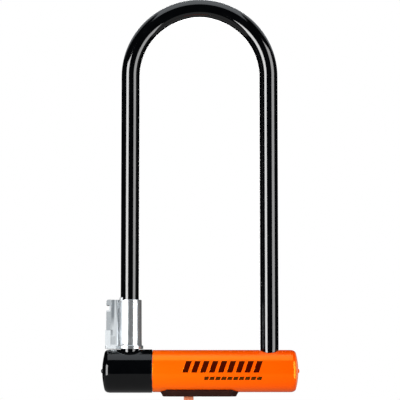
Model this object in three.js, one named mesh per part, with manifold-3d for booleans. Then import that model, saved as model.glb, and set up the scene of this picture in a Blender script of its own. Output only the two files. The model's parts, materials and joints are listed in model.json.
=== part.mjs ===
// A long-shackle U-lock for bicycles, in millimetres, +Z up.
//
// The crossbar lies along X and the shackle stands on it. The origin is the middle of the crossbar,
// where its long axis meets the key's axis. The lock is shown closed with both deadbolts drawn back,
// so the shackle is free to lift; a quarter turn of the core drives the bolts outwards into the
// notches of the shackle's feet.
import * as THREE from "three";
import { mergeVertices } from "three/addons/utils/BufferGeometryUtils.js";
import Module from "manifold-3d";

const wasm = await Module();
wasm.setup();

// ---------------------------------------------------------------- driving dimensions
const GAP = 0.3; // between pieces that touch on the real lock

// Shackle
const BAR_R = 6.5; // 13 mm hardened bar
const COAT = 1.05; // wall of the vinyl sleeve
const SLEEVE_R = BAR_R + 0.15 + COAT;
const INSIDE_WIDTH = 102;
const LEG_X = INSIDE_WIDTH / 2 + SLEEVE_R; // from the middle to a leg's axis
const ARCH_TOP = 316.2; // top of the sleeve above the crossbar's axis
const SPRING_Z = ARCH_TOP - SLEEVE_R - LEG_X; // where the legs turn into the arch
const FOOT_Z = -11.2; // lower end of the feet
const FOOT_CHAMFER = 1.5;
const SHACKLE_SIDES = 20;
const ARCH_STEPS = 24;

// Crossbar: an oval steel tube, taller than deep, in two vinyl covers
const TUBE = { y: 14.5, z: 16.1 }; // outer half axes
const TUBE_WALL = 3;
const TUBE_END = 78;
const BORE = { y: TUBE.y - TUBE_WALL, z: TUBE.z - TUBE_WALL };
const COVER = { y: 16.05, z: 17.6 };
const BOOT = { y: 16.55, z: 18.1 };
const COVER_BORE = { y: TUBE.y + 0.15, z: TUBE.z + 0.15 };
const FACE_X = { boot: 81.55, cover: 82.75 }; // from the key's axis to each domed end
const NUB_HEIGHT = 1.1;
const NUB_R = 2.1;
const DOME_SAG = 2; // from the face to where the rim starts to round
const RIM_R = 2.6;
const SEAM_X = -39.65; // where the black boot meets the coloured cover
const OVAL_SIDES = 40;

// Deadbolts and the driver that moves them
const PIN_ORBIT = 4.5;
const PIN_R = 1.5;
const PIN_REST = PIN_ORBIT * Math.SQRT1_2; // the pins stand 45 degrees off the crossbar at rest
const BOLT = { y: 4, low: 1, high: 8.8 };
const BOLT_START_X = 9.6;
const BOLT_TIP_X = 51.4;
const YOKE_LOW = 6.2;
const YOKE_Y = 6.9;
const YOKE_SLACK = 0.35; // the pins swing on an arc while the bolts run straight
const NOTCH_DEPTH = 6;
const NOTCH = { low: BOLT.low - 0.6, high: BOLT.high + 0.6 };

// Disc cylinder, its key side facing down
const CYLINDER_R = 8.9;
const CYLINDER = { low: -12.5, high: 3.4 };
const CYLINDER_LIP = 1.5;
const CORE_R = 6.7;
const CORE = { low: CYLINDER.low + CYLINDER_LIP + 0.2, high: 2.4 };
const CORE_BORE_R = 5.3;
const CORE_BACK = 1.4;
const DISC_R = 5.1;
const DISC_COUNT = 5;
const DISC_THICK = 1.6;
const DISC_PITCH = 1.9;
const PLATE_THICK = 1.7;
const KEYWAY = { long: 7.6, wide: 2.6 };
const SIDEBAR_R = 0.85;
const SIDEBAR_ORBIT = 5.45;
const SPINDLE = 4.2; // square end of the core that turns the driver
const DRIVER = { low: 3.8, high: 5.8, r: 7.3 };

// Collars, carrier, plugs and pins inside the tube
const FILL = { y: BORE.y - GAP, z: BORE.z - GAP }; // oval of the pieces that fill the tube
const COLLAR_HALF = 10;
const CARRIER_HALF = 24;
const PLUG = { inner: 72.5, outer: 77.7 };
const CROSS_PIN_R = 1.5;
const PLUG_PIN_X = 75.1;
const CARRIER_PIN = { x: -19, z: -6 };
const CYLINDER_PIN = { x: 9.2, z: -4, r: 1.2 };

// Dust cover under the keyhole
const DUST = { halfLength: 32.6, halfWidth: 8.3, cornerX: 4.6, cornerY: 5, low: -21.2 };
const DUST_DRAFT = { x: 0.944, y: 0.855 }; // length and width of its underside, as shares of the top's
const DUST_LIP = 1; // floor that carries the shutter
const SHUTTER = { left: -13.4, right: 8.6, y: 6.1, corner: 3.2, thick: 1.2 };
const SHUTTER_TRAVEL = 15.4;
const TAB = { x: -9.1, length: 8.1, y: 3.4, low: -24.8 };
const KEYHOLE_R = 6.5;
const COVER_KEYHOLE_R = 8;
const POST = { x: 27.6, r: 2.4, top: -12.2 };

// Bracket adapter on the left leg
const ADAPTER = { bore: SLEEVE_R + 0.25, r: 10.15, low: 18.5, high: 59.6 };
const BASE_HIGH = 21.3;
const BASE_R = 11.5;
const RAIL = { outer: 20.1, inner: 15.8, headY: 9, webY: 5.2 };
const RAIL_CATCH = { low: 50.6, high: 54.9, depth: 3.4 };
const LIP_RISE = 2;
const LUG = { inner: 8.4, outer: 15.6, halfX: 5.4, slit: 1.2, low: 33, high: 47 };
const SCREW_R = 1.5;
const SCREW_Y = 12.6;
const SCREW_Z = 40;
const SCREW_HEAD = { r: 2.7, height: 2.6 };
const NUT = { r: 3, height: 2.2 };

// ---------------------------------------------------------------- materials
const finish = (color, roughness, metalness) =>
  new THREE.MeshStandardMaterial({ color, roughness, metalness });
const blackVinyl = finish(0x08090a, 0.18, 0);
const orangeVinyl = finish(0xff6a05, 0.3, 0);
const hardSteel = finish(0x8f9296, 0.3, 1);
const platedSteel = finish(0xb9bcc0, 0.22, 1);
const zinc = finish(0x9a9ca0, 0.45, 1);
const brass = finish(0xc2a14d, 0.3, 1);
const blackPlastic = finish(0x1f1b1c, 0.5, 0);
const orangePlastic = finish(0xe0602a, 0.4, 0);
const silver = finish(0xd5d8dc, 0.12, 1);
const clear = new THREE.MeshStandardMaterial({
  color: 0xe8eef2,
  roughness: 0.05,
  metalness: 0,
  transparent: true,
  opacity: 0.35,
});

// ---------------------------------------------------------------- shapes
// A closed three.js geometry as a manifold-3d solid, for joining and cutting.
function solid(geometry) {
  const bare = geometry.clone();
  bare.deleteAttribute("normal");
  bare.deleteAttribute("uv");
  const merged = mergeVertices(bare, 1e-4);
  return new wasm.Manifold(
    new wasm.Mesh({
      numProp: 3,
      vertProperties: new Float32Array(merged.attributes.position.array),
      triVerts: new Uint32Array(merged.index.array),
    }),
  );
}

function geometryOf(body) {
  const mesh = body.getMesh();
  const geometry = new THREE.BufferGeometry();
  const position = new THREE.BufferAttribute(new Float32Array(mesh.vertProperties), 3);
  geometry.setAttribute("position", position);
  geometry.setIndex(new THREE.BufferAttribute(new Uint32Array(mesh.triVerts), 1));
  geometry.computeVertexNormals();
  return geometry;
}

const join = (first, ...others) => others.reduce((whole, next) => whole.add(next), first);
const cut = (first, ...others) => others.reduce((whole, next) => whole.subtract(next), first);

// Extrudes an outline in its own XY plane from height low to height high.
function prism(points, low, high) {
  const geometry = new THREE.ExtrudeGeometry(new THREE.Shape(points), {
    depth: high - low,
    bevelEnabled: false,
  });
  return solid(geometry.translate(0, 0, low));
}

function box(x0, x1, y0, y1, z0, z1) {
  const geometry = new THREE.BoxGeometry(x1 - x0, y1 - y0, z1 - z0);
  return solid(geometry.translate((x0 + x1) / 2, (y0 + y1) / 2, (z0 + z1) / 2));
}

// An upright cylinder, or a cone frustum where topR is given.
function post(r, x, y, low, high, sides = 24, topR = r) {
  const geometry = new THREE.CylinderGeometry(topR, r, high - low, sides);
  return solid(geometry.rotateX(Math.PI / 2).translate(x, y, (low + high) / 2));
}

// A cylinder along Y, or along X.
function rodAlongY(r, x, z, y0, y1, sides = 16) {
  const geometry = new THREE.CylinderGeometry(r, r, y1 - y0, sides);
  return solid(geometry.translate(x, (y0 + y1) / 2, z));
}

function rodAlongX(r, y, z, x0, x1, sides = 16) {
  const geometry = new THREE.CylinderGeometry(r, r, x1 - x0, sides);
  return solid(geometry.rotateZ(Math.PI / 2).translate((x0 + x1) / 2, y, z));
}

// A prism of oval section along X.
function ovalPrism(half, x0, x1) {
  const points = [];
  for (let i = 0; i < OVAL_SIDES; i++) {
    const angle = (2 * Math.PI * i) / OVAL_SIDES;
    points.push(new THREE.Vector2(half.y * Math.cos(angle), half.z * Math.sin(angle)));
  }
  const geometry = new THREE.ExtrudeGeometry(new THREE.Shape(points), {
    depth: x1 - x0,
    bevelEnabled: false,
  });
  // The outline's X and Y become the row's Y and Z, and its depth runs along X.
  const toCrossbar = new THREE.Matrix4().set(0, 0, 1, x0, 1, 0, 0, 0, 0, 1, 0, 0, 0, 0, 0, 1);
  return solid(geometry.applyMatrix4(toCrossbar));
}

// Oval crossbar cover with a shallow domed end and a small moulding nub, from the seam to the face.
function domedOval(half, seam, face) {
  const profile = [new THREE.Vector2(0, seam), new THREE.Vector2(half.z, seam)];
  const rimStart = face - DOME_SAG - RIM_R;
  for (let i = 0; i <= 4; i++) {
    const angle = (i / 4) * (Math.PI / 2) * 0.86;
    profile.push(
      new THREE.Vector2(
        half.z - RIM_R + RIM_R * Math.cos(angle),
        rimStart + RIM_R * Math.sin(angle),
      ),
    );
  }
  const edge = profile[profile.length - 1];
  for (let i = 1; i <= 4; i++) {
    const share = 1 - i / 5;
    const rise = (face - edge.y) * (1 - share * share);
    profile.push(new THREE.Vector2(edge.x * share, edge.y + rise));
  }
  profile.push(
    new THREE.Vector2(NUB_R, face),
    new THREE.Vector2(NUB_R * 0.7, face + NUB_HEIGHT * 0.75),
    new THREE.Vector2(0, face + NUB_HEIGHT),
  );
  const geometry = new THREE.LatheGeometry(profile, OVAL_SIDES);
  return solid(geometry.rotateZ(-Math.PI / 2).scale(1, half.y / half.z, 1));
}

// The shackle's centre line: up the left leg, round the arch and down the right leg. Each leg is one
// step of the sweep and the arch takes the rest, because a straight leg needs no more.
class ShackleLine extends THREE.Curve {
  constructor(footZ) {
    super();
    this.footZ = footZ;
    this.steps = ARCH_STEPS + 2;
  }
  getUtoTmapping(u) {
    return u;
  }
  getPoint(t, target = new THREE.Vector3()) {
    const step = t * this.steps;
    if (step <= 1) return target.set(-LEG_X, 0, this.footZ + (SPRING_Z - this.footZ) * step);
    if (step >= this.steps - 1)
      return target.set(LEG_X, 0, this.footZ + (SPRING_Z - this.footZ) * (this.steps - step));
    const angle = Math.PI * (1 - (step - 1) / ARCH_STEPS);
    return target.set(LEG_X * Math.cos(angle), 0, SPRING_Z + LEG_X * Math.sin(angle));
  }
}

function circle(r, PathType = THREE.Shape) {
  const points = [];
  for (let i = 0; i < SHACKLE_SIDES; i++) {
    const angle = (2 * Math.PI * i) / SHACKLE_SIDES;
    points.push(new THREE.Vector2(r * Math.cos(angle), r * Math.sin(angle)));
  }
  return new PathType(points);
}

function sweep(shape, footZ) {
  const line = new ShackleLine(footZ);
  const geometry = new THREE.ExtrudeGeometry(shape, { steps: line.steps, extrudePath: line });
  return solid(geometry);
}

// ---------------------------------------------------------------- shackle
function shackleBar() {
  let bar = sweep(circle(BAR_R), FOOT_Z);
  for (const side of [-1, 1]) {
    const chamfer = [
      [BAR_R - FOOT_CHAMFER, FOOT_Z - 1],
      [BAR_R + 1, FOOT_Z - 1],
      [BAR_R + 1, FOOT_Z + FOOT_CHAMFER + 1],
      [BAR_R - FOOT_CHAMFER, FOOT_Z],
      [BAR_R - FOOT_CHAMFER, FOOT_Z - 1],
    ].map(([r, z]) => new THREE.Vector2(r, z));
    const ring = new THREE.LatheGeometry(chamfer, SHACKLE_SIDES);
    ring.rotateX(Math.PI / 2).translate(side * LEG_X, 0, 0);
    const inner = side * (LEG_X - BAR_R - 1);
    const floor = side * (LEG_X - BAR_R + NOTCH_DEPTH);
    const notch = box(
      Math.min(inner, floor),
      Math.max(inner, floor),
      -BAR_R - 1,
      BAR_R + 1,
      NOTCH.low,
      NOTCH.high,
    );
    bar = cut(bar, solid(ring), notch);
  }
  return bar;
}

function shackleSleeve() {
  const ring = circle(SLEEVE_R);
  ring.holes.push(circle(BAR_R + 0.15, THREE.Path));
  // Both ends are scribed to the oval of the crossbar's tube.
  const saddle = ovalPrism({ y: TUBE.y + GAP, z: TUBE.z + GAP }, -TUBE_END, TUBE_END);
  return cut(sweep(ring, TUBE.z - 6), saddle);
}

// ---------------------------------------------------------------- bracket adapter on the left leg
function adapterSleeve() {
  const wall = post(ADAPTER.r + 0.15, -LEG_X, 0, ADAPTER.low, ADAPTER.high, 32, ADAPTER.r - 0.1);
  const base = post(BASE_R, -LEG_X, 0, ADAPTER.low, BASE_HIGH, 32);
  const foot = box(
    -LEG_X - RAIL.outer,
    -LEG_X,
    -RAIL.headY,
    RAIL.headY,
    ADAPTER.low,
    BASE_HIGH,
  );
  const lip = box(-LEG_X - ADAPTER.r, -LEG_X - 6, -4, 4, ADAPTER.high - 1, ADAPTER.high + LIP_RISE);
  const lipRound = post(ADAPTER.r - 0.1, -LEG_X, 0, ADAPTER.high - 2, ADAPTER.high + 3, 32);
  const lugs = box(
    -LEG_X - LUG.halfX,
    -LEG_X + LUG.halfX,
    LUG.inner,
    LUG.outer,
    LUG.low,
    LUG.high,
  );
  const bore = post(ADAPTER.bore, -LEG_X, 0, ADAPTER.low - 1, ADAPTER.high + 4);
  const slit = box(
    -LEG_X - LUG.slit / 2,
    -LEG_X + LUG.slit / 2,
    0,
    LUG.outer + 1,
    BASE_HIGH + 2,
    ADAPTER.high + 4,
  );
  const screwHole = rodAlongX(
    SCREW_R + 0.3,
    SCREW_Y,
    SCREW_Z,
    -LEG_X - LUG.halfX - 1,
    -LEG_X + LUG.halfX + 1,
  );
  return cut(join(wall, base, foot, lip.intersect(lipRound), lugs), bore, slit, screwHole);
}

function adapterRail() {
  const low = BASE_HIGH + GAP;
  const high = ADAPTER.high;
  const head = [
    new THREE.Vector2(-RAIL.outer, low),
    new THREE.Vector2(-RAIL.inner, low),
    new THREE.Vector2(-RAIL.inner, high),
  ];
  const cornerR = 3;
  for (let i = 0; i <= 4; i++) {
    const angle = Math.PI / 2 + (i / 4) * (Math.PI / 2);
    head.push(
      new THREE.Vector2(
        -RAIL.outer + cornerR + cornerR * Math.cos(angle),
        high - cornerR + cornerR * Math.sin(angle),
      ),
    );
  }
  // The catch that the frame bracket clicks into.
  head.push(
    new THREE.Vector2(-RAIL.outer, RAIL_CATCH.high),
    new THREE.Vector2(-RAIL.outer + RAIL_CATCH.depth, RAIL_CATCH.high),
    new THREE.Vector2(-RAIL.outer + RAIL_CATCH.depth, RAIL_CATCH.low),
    new THREE.Vector2(-RAIL.outer, RAIL_CATCH.low),
  );
  const geometry = new THREE.ExtrudeGeometry(new THREE.Shape(head), {
    depth: 2 * RAIL.headY,
    bevelEnabled: false,
  });
  geometry.rotateX(Math.PI / 2).translate(-LEG_X, RAIL.headY, 0);
  const web = box(-LEG_X - RAIL.inner - 0.5, -LEG_X, -RAIL.webY, RAIL.webY, low, high);
  const seat = post(ADAPTER.r + 0.15 + GAP, -LEG_X, 0, low - 1, high + 1, 32);
  return cut(join(solid(geometry), web), seat);
}

function adapterScrew() {
  const start = -LEG_X + LUG.halfX + GAP;
  const shank = rodAlongX(SCREW_R, SCREW_Y, SCREW_Z, -LEG_X - LUG.halfX - NUT.height - 1, start + 1);
  const head = rodAlongX(SCREW_HEAD.r, SCREW_Y, SCREW_Z, start, start + SCREW_HEAD.height, 20);
  const socket = rodAlongX(1.25, SCREW_Y, SCREW_Z, start + 1, start + SCREW_HEAD.height + 1, 6);
  return cut(join(shank, head), socket);
}

function adapterNut() {
  const start = -LEG_X - LUG.halfX - GAP;
  const nut = rodAlongX(NUT.r, SCREW_Y, SCREW_Z, start - NUT.height, start, 6);
  return cut(nut, rodAlongX(SCREW_R + 0.2, SCREW_Y, SCREW_Z, start - NUT.height - 1, start + 1));
}

// ---------------------------------------------------------------- crossbar
const postHole = (x) => post(POST.r + 0.3, x, 0, -BOOT.z - 1, -BORE.z + 3, 16);

function crossbarTube() {
  const blank = cut(
    ovalPrism(TUBE, -TUBE_END, TUBE_END),
    ovalPrism(BORE, -TUBE_END - 1, TUBE_END + 1),
  );
  const holes = [post(CYLINDER_R + 0.4, 0, 0, -TUBE.z - 1, 0, 28), postHole(-POST.x), postHole(POST.x)];
  for (const side of [-1, 1]) {
    holes.push(post(BAR_R + 0.4, side * LEG_X, 0, 0, TUBE.z + 1));
    holes.push(rodAlongY(CROSS_PIN_R + 0.3, side * PLUG_PIN_X, 0, -TUBE.y - 1, TUBE.y + 1));
  }
  holes.push(
    rodAlongY(CROSS_PIN_R + 0.3, CARRIER_PIN.x, CARRIER_PIN.z, -TUBE.y - 1, TUBE.y + 1),
  );
  return cut(blank, ...holes);
}

function crossbarCover() {
  return cut(
    domedOval(COVER, SEAM_X + GAP, FACE_X.cover),
    ovalPrism(COVER_BORE, SEAM_X - 1, TUBE_END + GAP),
    post(SLEEVE_R + 0.35, LEG_X, 0, 0, COVER.z + 1, 28),
    post(COVER_KEYHOLE_R, 0, 0, -COVER.z - 1, 0, 28),
    postHole(-POST.x),
    postHole(POST.x),
  );
}

function endBoot() {
  const flip = new THREE.Matrix4().makeRotationZ(Math.PI);
  const outside = domedOval(BOOT, -SEAM_X, FACE_X.boot).transform(flip.elements);
  return cut(
    outside,
    ovalPrism(COVER_BORE, -TUBE_END - GAP, SEAM_X + 1),
    post(SLEEVE_R + 0.35, -LEG_X, 0, 0, BOOT.z + 1, 28),
  );
}

function endPlug(side) {
  const ends = [side * PLUG.inner, side * PLUG.outer].sort((a, b) => a - b);
  const hole = rodAlongY(CROSS_PIN_R + 0.2, side * PLUG_PIN_X, 0, -TUBE.y, TUBE.y);
  return cut(ovalPrism(FILL, ...ends), hole);
}

// Roll pin driven through the tube, its ends just below the tube's surface.
function crossPin(x, z) {
  const halfLength = TUBE.y * Math.sqrt(1 - ((Math.abs(z) + CROSS_PIN_R) / TUBE.z) ** 2) - 0.2;
  return rodAlongY(CROSS_PIN_R, x, z, -halfLength, halfLength);
}

// Collar that keeps a foot from turning; the deadbolt passes through its window.
function legCollar(side) {
  const ends = [side * (LEG_X - COLLAR_HALF), side * (LEG_X + COLLAR_HALF)].sort((a, b) => a - b);
  const window = [side * (LEG_X - COLLAR_HALF - 1), side * LEG_X].sort((a, b) => a - b);
  return cut(
    ovalPrism(FILL, ...ends),
    post(BAR_R + 0.35, side * LEG_X, 0, -BORE.z, BORE.z),
    box(...window, -BOLT.y - GAP, BOLT.y + GAP, BOLT.low - GAP, BOLT.high + GAP),
  );
}

// Die-cast block that carries the cylinder and guides both bolts.
function cylinderCarrier() {
  const top = BOLT.high + GAP;
  return cut(
    ovalPrism(FILL, -CARRIER_HALF, CARRIER_HALF),
    post(CYLINDER_R + 0.2, 0, 0, -BORE.z - 1, CYLINDER.high + GAP, 32),
    post(DRIVER.r + 0.4, 0, 0, CYLINDER.high, YOKE_LOW, 28),
    box(-CARRIER_HALF - 1, CARRIER_HALF + 1, -YOKE_Y - GAP, YOKE_Y + GAP, YOKE_LOW - GAP, top),
    box(BOLT_START_X - 0.5, CARRIER_HALF + 1, -BOLT.y - GAP, BOLT.y + GAP, BOLT.low - GAP, top),
    box(-CARRIER_HALF - 1, -BOLT_START_X + 0.5, -BOLT.y - GAP, BOLT.y + GAP, BOLT.low - GAP, top),
    rodAlongY(CROSS_PIN_R + 0.2, CARRIER_PIN.x, CARRIER_PIN.z, -TUBE.y, TUBE.y),
    rodAlongY(CYLINDER_PIN.r + 0.2, CYLINDER_PIN.x, CYLINDER_PIN.z, -TUBE.y, TUBE.y),
  );
}

// ---------------------------------------------------------------- disc cylinder
const keyway = () =>
  box(-KEYWAY.long / 2, KEYWAY.long / 2, -KEYWAY.wide / 2, KEYWAY.wide / 2, CORE.low - 3, CORE.high);

function cylinderBody() {
  return cut(
    post(CYLINDER_R, 0, 0, CYLINDER.low, CYLINDER.high, 32),
    post(CORE_R + 0.25, 0, 0, CYLINDER.low + CYLINDER_LIP, CYLINDER.high + 1, 28),
    post(DISC_R, 0, 0, CYLINDER.low - 1, CYLINDER.high),
    rodAlongY(CYLINDER_PIN.r + 0.2, CYLINDER_PIN.x, CYLINDER_PIN.z, -TUBE.y, TUBE.y),
  );
}

function core() {
  const body = post(CORE_R, 0, 0, CORE.low, CORE.high, 28);
  const spindle = box(
    -SPINDLE / 2,
    SPINDLE / 2,
    -SPINDLE / 2,
    SPINDLE / 2,
    CORE.high - 0.5,
    DRIVER.high,
  );
  const bore = post(CORE_BORE_R, 0, 0, CORE.low - 1, CORE.high - CORE_BACK);
  const slotHalf = SIDEBAR_R + 0.15;
  const slot = box(-slotHalf, slotHalf, 0, CORE_R + 1, CORE.low + 2, CORE.high - CORE_BACK);
  return cut(join(body, spindle), bore, slot);
}

function frontPlate() {
  const low = CORE.low + 0.1;
  return cut(post(DISC_R, 0, 0, low, low + PLATE_THICK), keyway());
}

function disc(index) {
  const low = CORE.low + PLATE_THICK + 0.4 + index * DISC_PITCH;
  const gate = post(SIDEBAR_R + 0.15, 0, SIDEBAR_ORBIT, low - 1, low + DISC_THICK + 1, 12);
  return cut(post(DISC_R, 0, 0, low, low + DISC_THICK), keyway(), gate);
}

const sidebar = () =>
  post(SIDEBAR_R, 0, SIDEBAR_ORBIT, CORE.low + 2.2, CORE.high - CORE_BACK - 0.2, 12);

// Spring ring in the back of the cylinder that keeps the core in.
function coreClip() {
  const low = CORE.high + 0.25;
  const high = CYLINDER.high - 0.1;
  const ring = cut(post(CORE_R + 0.05, 0, 0, low, high, 28), post(3.9, 0, 0, low - 1, high + 1, 28));
  return cut(ring, box(0, CORE_R + 1, -2.2, 2.2, low - 1, high + 1));
}

function driver() {
  const hub = SPINDLE / 2 + 0.2;
  const plate = cut(
    post(DRIVER.r, 0, 0, DRIVER.low, DRIVER.high, 28),
    box(-hub, hub, -hub, hub, DRIVER.low - 1, DRIVER.high + 1),
  );
  const pins = [-1, 1].map((side) =>
    post(PIN_R, side * PIN_REST, side * PIN_REST, DRIVER.high - 0.5, BOLT.high, 16),
  );
  return join(plate, ...pins);
}

// The right bolt's yoke runs in front of the spindle, and the left bolt's behind it.
function deadbolt(side) {
  const bar = box(BOLT_START_X, BOLT_TIP_X, -BOLT.y, BOLT.y, BOLT.low, BOLT.high);
  const reach = PIN_REST + PIN_R + YOKE_SLACK;
  const yoke = box(-reach - 1.5, BOLT_START_X + 1, -YOKE_Y, -0.25, YOKE_LOW, BOLT.high);
  const slot = box(
    -reach,
    -PIN_REST + PIN_R + YOKE_SLACK,
    -PIN_ORBIT - PIN_R - GAP,
    -PIN_REST + PIN_R + GAP,
    YOKE_LOW - 1,
    BOLT.high + 1,
  );
  const bolt = cut(join(bar, yoke), slot);
  return side > 0 ? bolt : bolt.transform(new THREE.Matrix4().makeRotationZ(Math.PI).elements);
}

// ---------------------------------------------------------------- dust cover
// Outline seen from below: a long strip with its four corners cut off.
function stripOutline(left, right, halfWidth, cornerX, cornerY) {
  const half = halfWidth - cornerY;
  return [
    [right, -half],
    [right, half],
    [right - cornerX, halfWidth],
    [left + cornerX, halfWidth],
    [left, half],
    [left, -half],
    [left + cornerX, -halfWidth],
    [right - cornerX, -halfWidth],
  ].map(([x, y]) => new THREE.Vector2(x, y));
}

// The cover's outside: its sides are straight against the crossbar and lean in below it.
function dustBlock() {
  const { halfLength, halfWidth, cornerX, cornerY, low } = DUST;
  const outline = stripOutline(-halfLength, halfLength, halfWidth, cornerX, cornerY);
  const geometry = new THREE.ExtrudeGeometry(new THREE.Shape(outline), {
    depth: -COVER.z - low,
    bevelEnabled: false,
  });
  const position = geometry.attributes.position;
  for (let i = 0; i < position.count; i++) {
    if (position.getZ(i) > 0) continue;
    position.setXY(i, position.getX(i) * DUST_DRAFT.x, position.getY(i) * DUST_DRAFT.y);
  }
  return join(solid(geometry.translate(0, 0, low)), prism(outline, -COVER.z, -TUBE.z + 2));
}

// The shutter's plate, or the pocket it slides in where room and travel are given.
function shutterPlate(room, travel, low, high) {
  const left = SHUTTER.left - travel - room;
  const right = SHUTTER.right + room;
  const corner = SHUTTER.corner;
  return prism(stripOutline(left, right, SHUTTER.y + room, corner, corner), low, high);
}

function dustFrame() {
  const shell = cut(
    dustBlock(),
    ovalPrism({ y: COVER.y + GAP, z: COVER.z + GAP }, -DUST.halfLength - 1, DUST.halfLength + 1),
  );
  const floor = DUST.low + DUST_LIP;
  const pocket = shutterPlate(GAP, SHUTTER_TRAVEL, floor, floor + SHUTTER.thick + 0.4);
  const tabSlot = box(
    TAB.x - TAB.length / 2 - SHUTTER_TRAVEL - GAP,
    TAB.x + TAB.length / 2 + GAP,
    -TAB.y - GAP,
    TAB.y + GAP,
    DUST.low - 1,
    floor + 0.5,
  );
  const keyhole = post(KEYHOLE_R, 0, 0, DUST.low - 1, -COVER.z + 2, 28);
  const frame = cut(shell, pocket, tabSlot, keyhole);
  const posts = [-POST.x, POST.x].map((x) =>
    post(POST.r, x, 0, floor + SHUTTER.thick + 0.5, POST.top, 16, POST.r - 0.3),
  );
  return join(frame, ...posts);
}

function shutter() {
  const low = DUST.low + DUST_LIP + 0.2;
  const plate = shutterPlate(0, 0, low, low + SHUTTER.thick);
  const tab = [
    [TAB.x - TAB.length / 2 + 0.6, TAB.low],
    [TAB.x + TAB.length / 2 - 0.6, TAB.low],
    [TAB.x + TAB.length / 2, TAB.low + 0.8],
    [TAB.x + TAB.length / 2, low + 0.5],
    [TAB.x - TAB.length / 2, low + 0.5],
    [TAB.x - TAB.length / 2, TAB.low + 0.8],
  ].map(([x, z]) => new THREE.Vector2(x, z));
  const grip = new THREE.ExtrudeGeometry(new THREE.Shape(tab), {
    depth: 2 * TAB.y,
    bevelEnabled: false,
  });
  return join(plate, solid(grip.rotateX(Math.PI / 2).translate(0, TAB.y, 0)));
}

// ---------------------------------------------------------------- assembly
const lock = new THREE.Group();
lock.name = "u_lock";

function place(name, body, material) {
  const mesh = new THREE.Mesh(geometryOf(body), material);
  mesh.name = name;
  lock.add(mesh);
}

place("shackle_bar", shackleBar(), hardSteel);
place("shackle_sleeve", shackleSleeve(), blackVinyl);
place("adapter_sleeve", adapterSleeve(), silver);
place("adapter_rail", adapterRail(), clear);
place("adapter_screw", adapterScrew(), platedSteel);
place("adapter_nut", adapterNut(), platedSteel);

place("crossbar_tube", crossbarTube(), hardSteel);
place("crossbar_cover", crossbarCover(), orangeVinyl);
place("end_boot", endBoot(), blackVinyl);
for (const [word, side] of [["left", -1], ["right", 1]]) {
  place(`end_plug_${word}`, endPlug(side), platedSteel);
  place(`end_plug_pin_${word}`, crossPin(side * PLUG_PIN_X, 0), platedSteel);
  place(`leg_collar_${word}`, legCollar(side), zinc);
  place(`deadbolt_${word}`, deadbolt(side), platedSteel);
}

place("cylinder_carrier", cylinderCarrier(), zinc);
place("carrier_pin", crossPin(CARRIER_PIN.x, CARRIER_PIN.z), platedSteel);
place("cylinder_body", cylinderBody(), brass);
place(
  "cylinder_pin",
  rodAlongY(CYLINDER_PIN.r, CYLINDER_PIN.x, CYLINDER_PIN.z, -FILL.y + 0.8, FILL.y - 0.8),
  platedSteel,
);
place("core", core(), brass);
place("core_front_plate", frontPlate(), platedSteel);
for (let i = 0; i < DISC_COUNT; i++) place(`lock_disc_${i + 1}`, disc(i), brass);
place("sidebar", sidebar(), platedSteel);
place("core_clip", coreClip(), platedSteel);
place("bolt_driver", driver(), platedSteel);

place("dust_cover_frame", dustFrame(), blackPlastic);
place("dust_shutter", shutter(), orangePlastic);

export default lock;
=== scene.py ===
"""The looks of a long-shackle U-lock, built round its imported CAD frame.

Everything is in metres in the CAD's frame: X runs along the crossbar, Y away from the viewer and
Z up, and the origin is the middle of the crossbar."""

import json
import math

import bmesh
import bpy
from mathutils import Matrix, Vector


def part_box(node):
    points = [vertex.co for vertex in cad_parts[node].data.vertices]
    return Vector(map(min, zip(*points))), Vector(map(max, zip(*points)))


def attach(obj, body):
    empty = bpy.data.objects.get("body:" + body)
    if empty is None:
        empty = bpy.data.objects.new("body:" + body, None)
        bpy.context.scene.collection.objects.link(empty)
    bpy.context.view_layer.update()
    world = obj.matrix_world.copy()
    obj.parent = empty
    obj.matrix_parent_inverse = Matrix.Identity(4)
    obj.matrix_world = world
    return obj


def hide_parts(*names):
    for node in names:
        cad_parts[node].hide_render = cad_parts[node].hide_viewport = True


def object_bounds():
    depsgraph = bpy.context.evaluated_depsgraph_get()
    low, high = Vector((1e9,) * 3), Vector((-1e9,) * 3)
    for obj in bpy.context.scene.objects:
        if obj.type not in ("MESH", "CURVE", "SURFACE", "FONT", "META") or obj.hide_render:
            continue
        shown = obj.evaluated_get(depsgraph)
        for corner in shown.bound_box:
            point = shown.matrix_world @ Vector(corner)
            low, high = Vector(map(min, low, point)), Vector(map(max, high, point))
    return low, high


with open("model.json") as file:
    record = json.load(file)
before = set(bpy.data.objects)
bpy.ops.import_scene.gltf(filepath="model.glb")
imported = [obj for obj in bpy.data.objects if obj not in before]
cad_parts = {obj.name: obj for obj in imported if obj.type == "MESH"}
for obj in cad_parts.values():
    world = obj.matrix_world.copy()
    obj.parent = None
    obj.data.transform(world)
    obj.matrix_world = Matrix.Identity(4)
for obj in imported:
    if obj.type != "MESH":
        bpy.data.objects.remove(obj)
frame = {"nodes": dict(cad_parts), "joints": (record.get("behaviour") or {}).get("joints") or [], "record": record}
CAD_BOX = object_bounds()

MM = 0.001
ROUND = 96  # segments round the shackle and the crossbar
ARCH_STEPS = 128  # rings of the shackle's arch
PATCH_STEPS = 14  # cells along each side of the square patch round a leg's opening
PLAIN_STEPS = 44  # cells round the rest of the crossbar


# ---------------------------------------------------------------- sizes, most of them from the frame
def size(node):
    low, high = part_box(node)
    return high - low


def centre(node):
    low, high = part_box(node)
    return (low + high) / 2


BAR_R = size("shackle_bar").y / 2
COAT_R = size("shackle_sleeve").y / 2
LEG_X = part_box("shackle_sleeve")[1].x - COAT_R
SPRING_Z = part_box("shackle_sleeve")[1].z - COAT_R - LEG_X  # where the legs turn into the arch
TUBE = size("crossbar_tube") / 2
COVER = size("crossbar_cover") / 2
BOOT = size("end_boot") / 2
SEAM_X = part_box("crossbar_cover")[0].x
TIP_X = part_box("crossbar_cover")[1].x

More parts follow.
